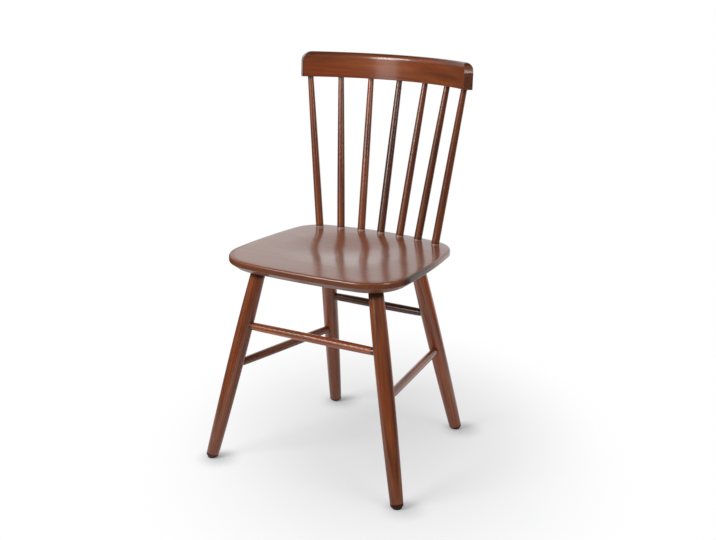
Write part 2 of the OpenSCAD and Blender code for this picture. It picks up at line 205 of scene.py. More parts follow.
class TurningSizes(bpy.types.PropertyGroup):
    """How far the turned pieces run into their sockets, out of sight, and how long the dark ends
    of the legs are, the upper one a painted shadow of the seat.
    """

    leg_tenon: length("Leg tenon", "Length of a leg in the seat", 16)
    toe: length("Toe", "Dark end of a leg at the floor", 7)
    # Painted shadow of the seat on the top of each leg, below its socket
    painted_neck_shadow: length("Neck", "Dark end of a leg under the seat", 20)
    stretcher_tenon: length("Stretcher tenon", "Length of a stretcher's end in a leg", 14)
    foot_tenon: length("Spindle foot tenon", "Length of a spindle in the seat", 15)
    top_tenon: length("Spindle top tenon", "Length of a spindle in the crest rail", 20)


class Finish(bpy.types.PropertyGroup):
    """Stain and lacquer of the wood with its painted shade and highlight, the glides' plastic and
    the nails' zinc.
    """

    light: shade("Light wood", "Stain where the wood takes it least", (0.63, 0.335, 0.145))
    middle: shade("Middle wood", "Stain on most of the wood", (0.52, 0.26, 0.115))
    dark: shade("Dark wood", "Stain in the rings and the pores", (0.27, 0.13, 0.065))
    ruddy: shade("Ruddy wood", "Stain where the wood looks redder", (0.59, 0.25, 0.10))
    ring: length("Ring", "Width of a growth ring", 5.5)
    ring_wander: length("Ring wander", "How far the growth rings wander", 30)
    rings: amount("Rings", "How strongly the growth rings show", 0.18)
    fibres: amount("Fibres", "How strongly the fibres show", 0.4)
    bands: amount("Bands", "How strongly the broad bands show", 0.9)
    clouds: amount("Clouds", "How strongly the cloudy patches show", 0.5)
    pores: amount("Pores", "How dark the pores are", 0.45)
    patches: amount("Patches", "How strongly the ruddy patches show", 0.35)
    relief: length("Relief", "Depth of the pores", 0.2)
    roughness: amount("Wood roughness", "Roughness of the smoothest wood", 0.42)
    gloss: amount("Lacquer roughness", "Roughness of the lacquer", 0.17)
    # How far and how strongly the wood darkens: stain gathered at joints and ends, and painted
    # shade under the seat, down the legs and on the crest rail
    gather: length("Gather", "How far the stain gathers from a joint or an end", 9)
    toe_gather: length("Toe gather", "How far it gathers from a leg's dark end", 3)
    # How far the painted shade on the crest rail's top reaches
    crown_shade_reach: length("Crest gather", "How far it gathers from the crest rail's top", 5.4)
    stain_and_shade: amount("Gathered", "How much of the stain gathers", 0.88)
    stain_and_shade_dark: amount("Gathered dark", "How light it is there beside the dark wood", 0.35)
    # Painted shade: a leg darkens toward its foot, against the light bounced from the floor
    foot_shade: amount("Toe stain", "How much more stain a leg has at its foot", 0.3)
    # How much darker the seat's edge is
    edge_darkening: amount("Edge stain", "How much more stain the seat's edge has", 0.35)
    # Painted shade on the crest rail's top, where its crown mirrors the dim room
    crown_shade: amount("Top stain", "How much more stain the crest rail's top has", 0.6)
    # Painted shade: the crest rail darkens toward its right end
    right_end_shade: amount("Right stain", "How much more the crest rail has at its right end", 0.25)
    end_dull: amount("End dull", "How thin the lacquer is at a leg's ends", 0.6)
    bevel_dull: amount("Bevel dull", "How thin the lacquer is under the seat", 0.6)
    rim_dull: amount("Rim dull", "How thin the lacquer is at the seat's rim", 0.4)
    # Painted highlight: a pale ring round each spindle's foot, where a bead of lacquer catches the
    # light
    bead_highlight: shade("Bead", "Lacquer that stands thick round a spindle's foot", (0.80, 0.64, 0.56))
    bead_highlight_share: amount("Bead share", "How much of the wood that lacquer hides", 0.6)
    bead_highlight_height: length("Bead height", "Height of that lacquer", 2.6)
    plastic: shade("Plastic", "Colour of the glides", (0.09, 0.08, 0.075))
    zinc: shade("Zinc", "Colour of the nails", (0.62, 0.62, 0.60))
    paler: amount("Paler", "How much paler scuffs are than the plastic or the zinc", 1.35)


class Studio(bpy.types.PropertyGroup):
    """Camera, lamps and floor."""

    eye: FloatVectorProperty(name="Camera place", description="Where the camera stands",
                             default=(1.24871, -2.09053, 1.15298), subtype="TRANSLATION",
                             unit="LENGTH")
    turn: angle("Camera turn", "Angle to the left of straight ahead", 30.48)
    dip: angle("Camera dip", "Angle below the horizon", 17.13)
    lens: amount("Lens", "Focal length on a 36 mm sensor", 60.58)
    picture_width: IntProperty(name="Picture width", description="Pixels across", default=716)
    off_centre: amount("Off centre", "Picture's shift in pixels", 0.5)
    key: power("Key", "Power of the high lamp at the front left", 47)
    spark: power("Spark", "Power of the lamp at the front that only the gloss shows", 26)
    side: power("Side", "Power of the tall lamp at the right that only the gloss shows", 20)
    wash: power("Wash", "Power of the wide lamp at the right", 20)
    strip: power("Strip", "Power of the low lamp at the front left", 6)
    fill: amount("Fill", "Strength of the light from all sides", 0.35)
    ceiling: amount("Ceiling", "What the lacquer mirrors from above the chair", 0.65)
    room: amount("Room", "What the lacquer mirrors of the dim room", 0.05)
    paper: FloatVectorProperty(name="Paper", description="Colour of the floor, linear",
                               default=(0.86, 0.875, 0.89), subtype="COLOR", size=3, min=0, max=1)
    shadow_depth: length("Shadow depth", "How far back the floor's shade reaches", 830)
    shadow_width: length("Shadow width", "How far sideways the floor's shade reaches", 560)
    shadow_veil: amount("Shadow veil", "How much white veils the shade at its middle", 0.35)
    foot_reach: length("Foot reach", "How far the deeper shade at a foot reaches", 60)
    foot_shift: length("Foot shift", "How far to the right of the foot its middle is", 15)
    foot_veil: amount("Foot veil", "How much of the white veil is left there", 0.1)


class Field:
    """A number, colour or vector that varies over a surface. Python's operators add Math nodes."""

    def __init__(self, graph, socket):
        self.graph = graph
        self.socket = socket

    def maths(self, operation, *values):
        """A Math node on the values given. This field counts only where it is one of them."""
        inputs = dict(enumerate(values))
        return self.graph.add("ShaderNodeMath", {"operation": operation}, inputs)

    def __add__(self, other):
        return self.maths("ADD", self, other)

    def __sub__(self, other):
        return self.maths("SUBTRACT", self, other)

    def __rsub__(self, other):
        return self.maths("SUBTRACT", other, self)

    def __mul__(self, other):
        return self.maths("MULTIPLY", self, other)

    def __truediv__(self, other):
        return self.maths("DIVIDE", self, other)

    def __pow__(self, other):
        return self.maths("POWER", self, other)

    __radd__ = __add__
    __rmul__ = __mul__

    def sine(self):
        return self.maths("SINE", self)

    def larger(self, other):
        return self.maths("MAXIMUM", self, other)

    def between(self, low, high):
        """0 below low, 1 above high and smooth in between."""
        inputs = {"Value": self, "From Min": low, "From Max": high}
        return self.graph.add("ShaderNodeMapRange", {"interpolation_type": "SMOOTHSTEP"}, inputs)


class Graph:
    """The node tree of a material or the world."""

    def __init__(self, tree):
        tree.nodes.clear()
        self.tree = tree

    def add(self, kind, settings=None, inputs=None, output=0):
        """Adds a node: first its settings, then what its sockets hold or are linked to."""
        node = self.tree.nodes.new(kind)
        for name, value in (settings or {}).items():
            setattr(node, name, value)
        for name, value in (inputs or {}).items():
            if isinstance(value, Field):
                self.tree.links.new(value.socket, node.inputs[name])
            else:
                node.inputs[name].default_value = value
        return Field(self, node.outputs[output]) if node.outputs else node

    def mix(self, share, first, second):
        """Blends two colours, each a Field or four numbers."""
        settings = {"data_type": "RGBA"}
        inputs = {0: share, 6: first, 7: second}
        return self.add("ShaderNodeMix", settings, inputs, output=2)

    def noise(self, vector, scale, detail, rough=0.5):
        inputs = {"Vector": vector, "Scale": scale, "Detail": detail, "Roughness": rough}
        return self.add("ShaderNodeTexNoise", {}, inputs)

    def grain(self, local, pattern):
        """A pattern drawn out along z."""
        kept, *kind = pattern
        drawn = self.add("ShaderNodeVectorMath", {"operation": "MULTIPLY"},
                         {0: local, 1: (1, 1, kept)})
        return self.noise(drawn, *kind)

    def parts(self, vector):
        """The three numbers of a vector."""
        node = self.add("ShaderNodeSeparateXYZ", {}, {0: vector}).socket.node
        return [Field(self, socket) for socket in node.outputs]


def screen_colour(colour):
    """Linear red, green, blue and alpha of a colour as it looks on a screen."""
    linear = [part / 12.92 if part <= 0.04045 else ((part + 0.055) / 1.055) ** 2.4
              for part in colour]
    return (*linear, 1.0)


def new_material(name):
    """A material, its graph and the object's own coordinates in it."""
    made = bpy.data.materials.new(name)
    made.use_nodes = True
    graph = Graph(made.node_tree)
    return made, graph, graph.add("ShaderNodeTexCoord", output="Object")


def dress(piece, material):
    """Gives a piece one material."""
    piece.data.materials.clear()
    piece.data.materials.append(material)


def paint_wood(graph, local, pith, stain_and_shade, bead_highlight=0.0, dull=0.0, tone=1.0, figure=1.0, sheen=0.1,
               shine=1.52):
    """Stained and lacquered hardwood. local runs along the grain in z, and pith is where the
    middle of the log lay, in x and y. stain_and_shade is 1 where the wood is darkened and 0
    elsewhere: by stain gathered at joints and ends, by painted shade under the seat, down the legs
    and on the crest rail, and round the seat's edge. bead_highlight is the same for a pale painted
    highlight of lacquer and dull for thin lacquer. tone makes the whole piece lighter or darker,
    figure sets how much the grain stands out, sheen how much the wood itself shines under the
    lacquer, and shine is the lacquer's index of refraction."""
    finish = bpy.context.scene.chair_finish
    x, y = graph.parts(local)[:2]
    wander = (graph.grain(local, WANDER) - 0.5) * finish.ring_wander
    radius = ((x - pith[0]) ** 2 + (y - pith[1]) ** 2) ** 0.5 + wander
    rings = (radius * (2 * math.pi / finish.ring)).sine() * 0.5 + 0.5
    fibres = graph.grain(local, FIBRES)
    bands, clouds = graph.grain(local, BANDS), graph.grain(local, CLOUDS)
    pores = graph.grain(local, PORES).between(*PORE_EDGE)
    patches = graph.grain(local, PATCHES).between(*PATCH_EDGE)

    total = (rings ** RING_POWER * finish.rings + fibres * finish.fibres + bands * finish.bands
             + clouds * finish.clouds)
    depth = (total - USUAL_SUM) * figure + USUAL_DEPTH
    light, middle, dark, ruddy = (
        screen_colour([part * tone for part in colour])
        for colour in (finish.light, finish.middle, finish.dark, finish.ruddy))
    darkest = [part * finish.stain_and_shade_dark for part in dark]
    colour = graph.mix(depth.between(*MIDDLE_DEPTHS), light, middle)
    colour = graph.mix(depth.between(*DARK_DEPTHS) * DARKEST, colour, dark)
    colour = graph.mix(pores * finish.pores, colour, dark)
    colour = graph.mix(patches * finish.patches, colour, ruddy)
    # Gathered stain and painted shade
    colour = graph.mix(stain_and_shade * finish.stain_and_shade, colour, darkest)
    # Painted highlight of the lacquer bead at a spindle's foot
    colour = graph.mix(bead_highlight, colour, screen_colour(finish.bead_highlight))
    bump = graph.add("ShaderNodeBump", {}, {"Strength": 0.25, "Distance": finish.relief,
                                            "Height": fibres * FIBRE_RELIEF - pores})
    surface = graph.add("ShaderNodeBsdfPrincipled", {}, {
        "Base Color": colour, "Roughness": fibres * ROUGH_SPREAD + finish.roughness,
        "Specular IOR Level": sheen, "Coat Weight": 1.0 - dull, "Coat Roughness": finish.gloss,
        "Coat IOR": shine, "Normal": bump})
    graph.add("ShaderNodeOutputMaterial", {}, {"Surface": surface})


def near_ends(z, ends, reach):
    """1 outside the two places, 0 once further inside them than their reach."""
    return 1 - (z - ends[0]).between(0, reach[0]) * (ends[1] - z).between(0, reach[1])


def straight_grain(name, middle, direction):
    """A material, its graph and coordinates around a middle, whose z runs along a direction."""
    material, graph, here = new_material(name)
    turn = Vector((0, 0, 1)).rotation_difference(Vector(direction)).to_euler()
    local = graph.add("ShaderNodeMapping", {"vector_type": "TEXTURE"},
                      {"Vector": here, "Location": middle, "Rotation": turn})
    return material, graph, local


def turned_wood(name, middle, direction, pith, ends, is_leg=False, bead_highlight_share=0.0, worn=0.0,
                **look):
    """Wood of a piece turned along its own axis, between the two places where it comes out of its
    joints. Painted shade darkens a leg below the seat and deepens toward its foot, and its lacquer
    is thin at both ends. bead_highlight_share is how far a pale painted highlight, of a thick bead
    of lacquer, hides the wood at the lower end, and worn how dull the lacquer is all over."""
    finish = bpy.context.scene.chair_finish
    material, graph, local = straight_grain(name, middle, direction)
    z = graph.parts(local)[2]
    stain_and_shade = near_ends(z, ends, (finish.toe_gather if is_leg else finish.gather, finish.gather))
    dull = worn
    if is_leg:
        dull = stain_and_shade * finish.end_dull + worn
        # Painted shade, deeper toward the foot
        painted_foot_shade = (ends[1] - z).between(0, ends[1] - ends[0]) * finish.foot_shade
        stain_and_shade = stain_and_shade.larger(painted_foot_shade)
    bead_highlight = 0.0
    # Painted highlight of a lacquer bead round the spindle's foot
    if bead_highlight_share:
        above = (z - ends[0]).between(finish.bead_highlight_height / 2, finish.bead_highlight_height)
        bead_highlight = (1 - above) * bead_highlight_share
    paint_wood(graph, local, pith, stain_and_shade, bead_highlight, dull, **look)
    return material


def seat_wood(low, high, pith, **look):
    """Wood of the seat, with its grain from side to side. The stain has gathered at its ends, the
    wood is darker round its edge, and the lacquer is thin along the rim and on the bevel."""
    finish = bpy.context.scene.chair_finish
    half = (high - low) / 2
    material, graph, local = straight_grain("seat_wood", (low + high) / 2, (1, 0, 0))
    down, back, along = graph.parts(local)
    below = down + half.z
    oval = (along / half.x) ** OVAL + (back / half.y) ** OVAL
    edge = oval.between(*DARKER_EDGE) * below.between(*DARKER_BELOW) * finish.edge_darkening
    stain_and_shade = near_ends(along, (-half.x, half.x), (finish.gather, finish.gather)).larger(edge)
    bevel = below.between(*BEVEL_BELOW) * finish.bevel_dull
    dull = bevel.larger(oval.between(*THIN_EDGE) * finish.rim_dull)
    paint_wood(graph, local, pith, stain_and_shade, dull=dull, **look)
    return material


def crest_wood(centre, radius, pith, half_run, top, **look):
    """Wood of the crest rail, whose grain follows its bow round an upright line through centre.
    The stain has gathered at its ends; painted shade darkens its top, where the crown mirrors the
    dim room, and deepens toward its right end."""
    finish = bpy.context.scene.chair_finish
    material, graph, here = new_material("crest_wood")
    moved = graph.add("ShaderNodeMapping", {"vector_type": "TEXTURE"},
                      {"Vector": here, "Location": centre})
    x, y, z = graph.parts(moved)
    out = (x * x + y * y) ** 0.5 - radius
    along = x.maths("ARCTAN2", x, y) * radius
    local = graph.add("ShaderNodeCombineXYZ", {}, {"X": out, "Y": z, "Z": along})
    stain_and_shade = near_ends(along, (-half_run, half_run), (finish.gather, finish.gather))
    # Painted shade along the top
    stain_and_shade = stain_and_shade.larger(z.between(top - finish.crown_shade_reach, top) * finish.crown_shade)
    # Painted shade toward the right end
    stain_and_shade = stain_and_shade.larger(along.between(0, half_run) * finish.right_end_shade)
    paint_wood(graph, local, pith, stain_and_shade, **look)
    return material


def plain_surface(name, colour, roughness, metallic, speckle):
    """Moulded plastic or plated metal with a little unevenness and paler scuffs. speckle is how
    many of its spots a metre holds."""
    finish = bpy.context.scene.chair_finish
    material, graph, here = new_material(name)
    spots = graph.noise(here, speckle, 3)
    scuffed = screen_colour([min(1, part * finish.paler + SCUFF_LIFT) for part in colour])
    bump = graph.add("ShaderNodeBump", {}, {"Strength": 0.2, "Distance": SPOT_RELIEF,
                                            "Height": spots})
    surface = graph.add("ShaderNodeBsdfPrincipled", {}, {
        "Base Color": graph.mix(spots.between(*PATCH_EDGE), screen_colour(colour), scuffed),
        "Roughness": spots * ROUGH_SPREAD + (roughness - ROUGH_SPREAD / 2),
        "Metallic": metallic, "Normal": bump})
    graph.add("ShaderNodeOutputMaterial", {}, {"Surface": surface})
    return material


def finish_piece(bm, name, node):
    """Makes a shown piece of a bmesh, in place of a node of the frame."""
    bmesh.ops.recalc_face_normals(bm, faces=bm.faces)
    mesh = bpy.data.meshes.new(name)
    bm.to_mesh(mesh)
    bm.free()
    mesh.shade_smooth()
    piece = bpy.data.objects.new(name, mesh)
    bpy.context.scene.collection.objects.link(piece)
    piece.modifiers.new("flat_faces", "WEIGHTED_NORMAL")
    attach(piece, "root")
    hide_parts(node)
    return piece


def heading(start, end):
    """Angle of the level line from one point to another."""
    return math.atan2(end.y - start.y, end.x - start.x)


def seat_arcs(sizes, front, back, front_x, back_x, front_r, back_r):
    """Centres and turns of the arcs from the middle of the front edge to the middle of the back
    edge: the front edge, a corner, the side, the other corner and the back edge."""
    front_c = Vector((0, front + sizes.front_bow, 0))
    back_c = Vector((0, back - sizes.back_bow, 0))
    drop = math.sqrt((sizes.front_bow - front_r) ** 2 - front_x ** 2)
    rise = math.sqrt((sizes.back_bow - back_r) ** 2 - back_x ** 2)
    corner_1 = Vector((front_x, front_c.y - drop, 0))
    corner_2 = Vector((back_x, back_c.y + rise, 0))
    reach_1, reach_2 = sizes.side_bow - front_r, sizes.side_bow - back_r
    line = corner_2 - corner_1
    share = (reach_1 ** 2 - reach_2 ** 2 + line.length_squared) / (2 * line.length)
    across = Vector((-line.y, line.x, 0)).normalized()
    side_c = (corner_1 + line.normalized() * share
              + across * math.sqrt(reach_1 ** 2 - share ** 2))
    turns = [math.radians(-90), heading(front_c, corner_1), heading(side_c, corner_1),
             heading(side_c, corner_2), heading(back_c, corner_2), math.radians(90)]
    return [(front_c, turns[0], turns[1]), (corner_1, turns[1], turns[2]),
            (side_c, turns[2], turns[3]), (corner_2, turns[3], turns[4]),
            (back_c, turns[4], turns[5])]


def draw_ring(bm, arcs, front, height):
    """Draws a closed outline from a point at the middle of its front and returns its edges."""
    before = set(bm.edges)
    vert = bm.verts.new((0, front, height))
    for (centre, start, end), steps in zip(arcs, ARC_STEPS):
        spun = bmesh.ops.spin(bm, geom=[vert], cent=centre, axis=(0, 0, 1),
                              angle=end - start, steps=steps)
        vert = spun["geom_last"][0]
    half = [edge for edge in bm.edges if edge not in before]
    corners = list({v for edge in half for v in edge.verts})
    bmesh.ops.mirror(bm, geom=corners + half, matrix=Matrix.Identity(4), axis="X",
                     merge_dist=0.01 * MM)
    return [edge for edge in bm.edges if edge not in before]


def bridge(bm, ring, other):
    """Joins two rings. The second is held far below the first meanwhile, which keeps two rings
    in one plane from being joined crosswise."""
    verts = list({v for edge in other for v in edge.verts})
    bmesh.ops.translate(bm, vec=(0, 0, -1), verts=verts)
    bmesh.ops.bridge_loops(bm, edges=ring + other)
    bmesh.ops.translate(bm, vec=(0, 0, 1), verts=verts)


def sink_dish(bm, ring, middle, depth):
    """Sinks a dish inside a ring, one ring at a time, and closes it at its lowest point."""
    size, fall = 1.0, 0.0
    for step in range(1, DISH_RINGS):
        share = 1 - step / DISH_RINGS
        made = bmesh.ops.extrude_edge_only(bm, edges=ring)["geom"]
        verts = [part for part in made if isinstance(part, bmesh.types.BMVert)]
        ring = [part for part in made if isinstance(part, bmesh.types.BMEdge)
                and all(v in verts for v in part.verts)]
        now = depth * (1 - share ** EASE_OUT) ** EASE_IN
        bmesh.ops.scale(bm, vec=(share / size, share / size, 1), verts=verts,
                        space=Matrix.Translation(-middle))
        bmesh.ops.translate(bm, vec=(0, 0, fall - now), verts=verts)
        size, fall = share, now
    last = bmesh.ops.extrude_edge_only(bm, edges=ring)["geom"]
    verts = [part for part in last if isinstance(part, bmesh.types.BMVert)]
    low = Vector((middle.x, middle.y, verts[0].co.z + fall - depth))
    bmesh.ops.pointmerge(bm, verts=verts, merge_co=low)


def model_seat():
    """The seat's board: rim, bevel, level deck and dish."""
    sizes = bpy.context.scene.chair_seat
    low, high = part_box("seat")
    front, back = low.y, high.y
    front_x = sizes.front_width / 2 - sizes.front_corner
    back_x = sizes.back_width / 2 - sizes.back_corner
    arcs = seat_arcs(sizes, front, back, front_x, back_x, sizes.front_corner, sizes.back_corner)
    dish_front = front + sizes.dish_front
    dish = seat_arcs(sizes, dish_front, back - sizes.dish_deck,
                     sizes.dish_front_width / 2 - sizes.dish_front_r,
                     sizes.dish_back_width / 2 - sizes.dish_back_r,
                     sizes.dish_front_r, sizes.dish_back_r)
    bevel_z = low.z + sizes.bevel_height

    bm = bmesh.new()
    flat = draw_ring(bm, arcs, front + sizes.bevel_width + sizes.flat_margin, low.z)
    under = draw_ring(bm, arcs, front + sizes.bevel_width, low.z)
    belt = draw_ring(bm, arcs, front, bevel_z)
    top = draw_ring(bm, arcs, front, high.z - sizes.roll_drop)
    deck = draw_ring(bm, arcs, front + sizes.roll_width, high.z)
    hollow = draw_ring(bm, dish, dish_front, high.z)
    bmesh.ops.contextual_create(bm, geom=flat)
    rings = [flat, under, belt, top, deck, hollow]
    for ring, other in zip(rings, rings[1:]):
        bridge(bm, ring, other)
    middle = Vector((0, (front + back) / 2 + sizes.dish_back, 0))
    sink_dish(bm, hollow, middle, sizes.dish_depth)
    bmesh.ops.bevel(bm, geom=under + belt, offset=sizes.arris, segments=2, profile=0.5,
                    affect="EDGES", material=-1)
    bmesh.ops.bevel(bm, geom=[edge for edge in top if edge.is_valid], offset=sizes.rim_round,
                    segments=7, profile=0.5, affect="EDGES", material=-1)
    return finish_piece(bm, "seat_board", "seat")


def crest_section(bm, sizes):
    """The rail's section: an upright board with a rounded crown, as one face at y = 0. Its foot
    is at z = 0."""
    half = sizes.thickness / 2
    shoulder = sizes.height - sizes.crown
    bmesh.ops.create_circle(bm, segments=48, radius=1)
    bmesh.ops.rotate(bm, verts=bm.verts, cent=(0, 0, 0),
                     matrix=Matrix.Rotation(math.radians(90), 3, "X"))
    bmesh.ops.scale(bm, verts=bm.verts, vec=(half, 1, sizes.crown))
    bmesh.ops.bisect_plane(bm, geom=bm.verts[:] + bm.edges[:], plane_co=(0, 0, 0),
                           plane_no=(0, 0, -1), clear_outer=True, dist=0.001 * MM)
    bmesh.ops.translate(bm, verts=bm.verts, vec=(0, 0, shoulder))
    ends = [v for v in bm.verts if len(v.link_edges) == 1]
    made = bmesh.ops.extrude_vert_indiv(bm, verts=ends)
    bmesh.ops.translate(bm, verts=made["verts"], vec=(0, 0, -shoulder))
    foot = made["verts"]
    bmesh.ops.contextual_create(bm, geom=foot)
    bmesh.ops.contextual_create(bm, geom=bm.edges[:])
    bmesh.ops.bevel(bm, geom=foot, offset=sizes.arris, segments=3, profile=0.5,
                    affect="VERTICES", material=-1)


def round_corner(bm, side, sizes, half_angle):
    """Works the upper corner of one end round with a fan of level cuts across the rail."""
    radius, cuts = sizes.corner, 12
    turn = Matrix.Rotation(-side * half_angle, 3, "Z")
    centre = Vector((-side * radius, sizes.bow, sizes.height - radius))
    for number in range(cuts):
        slope = math.radians(90) * (number + 0.5) / cuts
        outward = Vector((side * math.sin(slope), 0, math.cos(slope)))
        normal = turn @ outward
        point = turn @ (centre + outward * radius)
        bmesh.ops.bisect_plane(bm, geom=bm.verts[:] + bm.edges[:] + bm.faces[:], plane_co=point,
                               plane_no=normal, clear_outer=True, dist=0.001 * MM)
        rim = [edge for edge in bm.edges if edge.is_boundary]
        bmesh.ops.contextual_create(bm, geom=rim)


def model_crest():
    """The crest rail: its section spun round the bow, its ends' corners worked round. Also gives
    the place of the middle of its bow."""
    sizes = bpy.context.scene.chair_crest
    bm = bmesh.new()
    crest_section(bm, sizes)
    half_angle = sizes.run / 2 / sizes.bow
    bmesh.ops.translate(bm, verts=bm.verts, vec=(sizes.bow, 0, 0))
    bmesh.ops.rotate(bm, verts=bm.verts, cent=(0, 0, 0),
                     matrix=Matrix.Rotation(math.radians(90) - half_angle, 3, "Z"))
    face = bm.faces[:]
    bmesh.ops.spin(bm, geom=face, cent=(0, 0, 0), axis=(0, 0, 1), angle=2 * half_angle, steps=72)
    for side in (-1, 1):
        round_corner(bm, side, sizes, half_angle)
    bmesh.ops.recalc_face_normals(bm, faces=bm.faces)
    sharp = [edge for edge in bm.edges
             if len(edge.link_faces) == 2 and edge.calc_face_angle() > SHARP]
    bmesh.ops.bevel(bm, geom=sharp, offset=sizes.arris / 2, segments=2, profile=0.5,
                    affect="EDGES", material=-1, clamp_overlap=True)
    bmesh.ops.rotate(bm, verts=bm.verts, cent=(0, sizes.bow, 0),
                     matrix=Matrix.Rotation(-sizes.lean, 3, "X"))
    low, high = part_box("crest_rail")
    now_low = Vector([min(v.co[axis] for v in bm.verts) for axis in range(3)])
    now_high = Vector([max(v.co[axis] for v in bm.verts) for axis in range(3)])
    shift = (low + high - now_low - now_high) / 2
    bmesh.ops.translate(bm, verts=bm.verts, vec=shift)
    return finish_piece(bm, "crest_board", "crest_rail"), shift


def axis_of(node):
    """The middle of a long turned piece, the direction that it runs in, upwards if it stands, and
    half its length."""
    corners = np.array([v.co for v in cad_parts[node].data.vertices])
    middle = corners.mean(axis=0)
    direction = np.linalg.svd(corners - middle, full_matrices=False)[2][0]
    if direction[2] < 0:
        direction = -direction
    along = (corners - middle) @ direction
    middle = middle + direction * (along.min() + along.max()) / 2
    return Vector(middle), Vector(direction), float(along.max() - along.min()) / 2


class CHAIR_OT_seat(bpy.types.Operator):
    """Models the seat and finishes its wood"""

    bl_idname = "chair.seat"
    bl_label = "Seat"

    def execute(self, context):
        wood = seat_wood(*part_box("seat"), pith=(0.12, 0.03), tone=0.92, figure=0.65, sheen=0.3,
                         shine=1.6)
        dress(model_seat(), wood)
        return {"FINISHED"}


class CHAIR_OT_crest(bpy.types.Operator):
    """Models the crest rail and finishes its wood"""

    bl_idname = "chair.crest"
    bl_label = "Crest rail"

    def execute(self, context):
        piece, centre = model_crest()
        sizes = context.scene.chair_crest
        wood = crest_wood(centre, sizes.bow, pith=(0.05, 0.03), half_run=sizes.stained_run / 2,
                          top=sizes.height, tone=0.98, figure=1.3)
        dress(piece, wood)
        return {"FINISHED"}


class CHAIR_OT_turned(bpy.types.Operator):
    """Finishes the wood of the legs, stretchers and spindles, each along its own axis"""

    bl_idname = "chair.turned"
    bl_label = "Legs, stretchers and spindles"

    def execute(self, context):
        turning, finish = context.scene.chair_turning, context.scene.chair_finish
        # A leg's upper end lies below its tenon by the neck, whose darkening is painted shadow of
        # the seat
        hidden = ([(turning.toe, turning.leg_tenon + turning.painted_neck_shadow)] * len(LEGS)
                  + [(turning.stretcher_tenon, turning.stretcher_tenon)] * len(STRETCHERS)
                  + [(turning.foot_tenon, turning.top_tenon)] * len(SPINDLES))
        for number, node in enumerate(LEGS + STRETCHERS + SPINDLES):
            middle, direction, half = axis_of(node)
            ends = hidden[number][0] - half, half - hidden[number][1]
            turn = LOG_TURN * number
            pith = (LOG_REACH * math.cos(turn), LOG_REACH * math.sin(turn))
            bead_highlight_share = finish.bead_highlight_share if node in SPINDLES else 0
            material = turned_wood(f"{node}_wood", middle, direction, pith, ends,
                                   is_leg=node in LEGS, bead_highlight_share=bead_highlight_share,
                                   worn=WORN.get(node, 0), tone=TONES[number], figure=1.6)
            dress(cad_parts[node], material)
        return {"FINISHED"}


class CHAIR_OT_glides(bpy.types.Operator):
    """Finishes the plastic glides and their nails"""

    bl_idname = "chair.glides"
    bl_label = "Glides and nails"

    def execute(self, context):
        finish = context.scene.chair_finish
        plastic = plain_surface("glide_plastic", finish.plastic, roughness=0.55, metallic=0,
                                speckle=900)
        zinc = plain_surface("nail_zinc", finish.zinc, roughness=0.35, metallic=1, speckle=1500)
        for node in GLIDES:
            dress(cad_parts[node], plastic)
        dress(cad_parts["glide_nails"], zinc)
        return {"FINISHED"}


def add_lamp(name, watts, width, height, place):
    """A soft box that faces the chair."""
    lamp = bpy.data.lights.new(name, "AREA")
    lamp.energy, lamp.shape, lamp.size, lamp.size_y = watts, "RECTANGLE", width, height
    holder = bpy.data.objects.new(name, lamp)
    holder.location = place
    aim = Vector(LAMP_TARGET) - Vector(place)
    holder.rotation_euler = aim.to_track_quat("-Z", "Y").to_euler()
    holder.visible_diffuse = name not in GLOSS_ONLY
    holder.visible_glossy = name not in LIGHT_ONLY
    bpy.context.scene.collection.objects.link(holder)


def add_camera(studio):
    """The camera, where the photograph was taken from."""
    camera = bpy.data.cameras.new("camera")
    camera.sensor_width = 36
    camera.lens = studio.lens
    camera.shift_x = -studio.off_centre / studio.picture_width
    camera.shift_y = studio.off_centre / studio.picture_width
    holder = bpy.data.objects.new("camera", camera)
    holder.location = studio.eye
    holder.rotation_euler = (math.radians(90) - studio.dip, 0, studio.turn)
    bpy.context.scene.collection.objects.link(holder)
    bpy.context.scene.camera = holder


def seen_and_mirrored(graph):
    """1 for what the camera sees itself, and 1 for what it sees in a gloss."""
    rays = graph.add("ShaderNodeLightPath").socket.node
    return Field(graph, rays.outputs["Is Camera Ray"]), Field(graph, rays.outputs["Is Glossy Ray"])


def toward(x, y, direction, edge):
    """1 on the side that a level direction points to, and 0 elsewhere."""
    level = (x * x + y * y) ** 0.5
    return ((x * direction[0] + y * direction[1]) / level).between(*edge)


def floor_shade(x, y, studio):
    """How far out of the chair's shade a place on the floor is. The shade is an ellipse whose
    long axis runs away from the camera, and it is 1 at the ellipse's edge."""
    right, back = x - SHADE_MIDDLE[0], y - SHADE_MIDDLE[1]
    cosine, sine = math.cos(studio.turn), math.sin(studio.turn)
    away = (back * cosine - right * sine) / studio.shadow_depth
    across = (right * cosine + back * sine) / studio.shadow_width
    return (away * away + across * across) ** 0.5


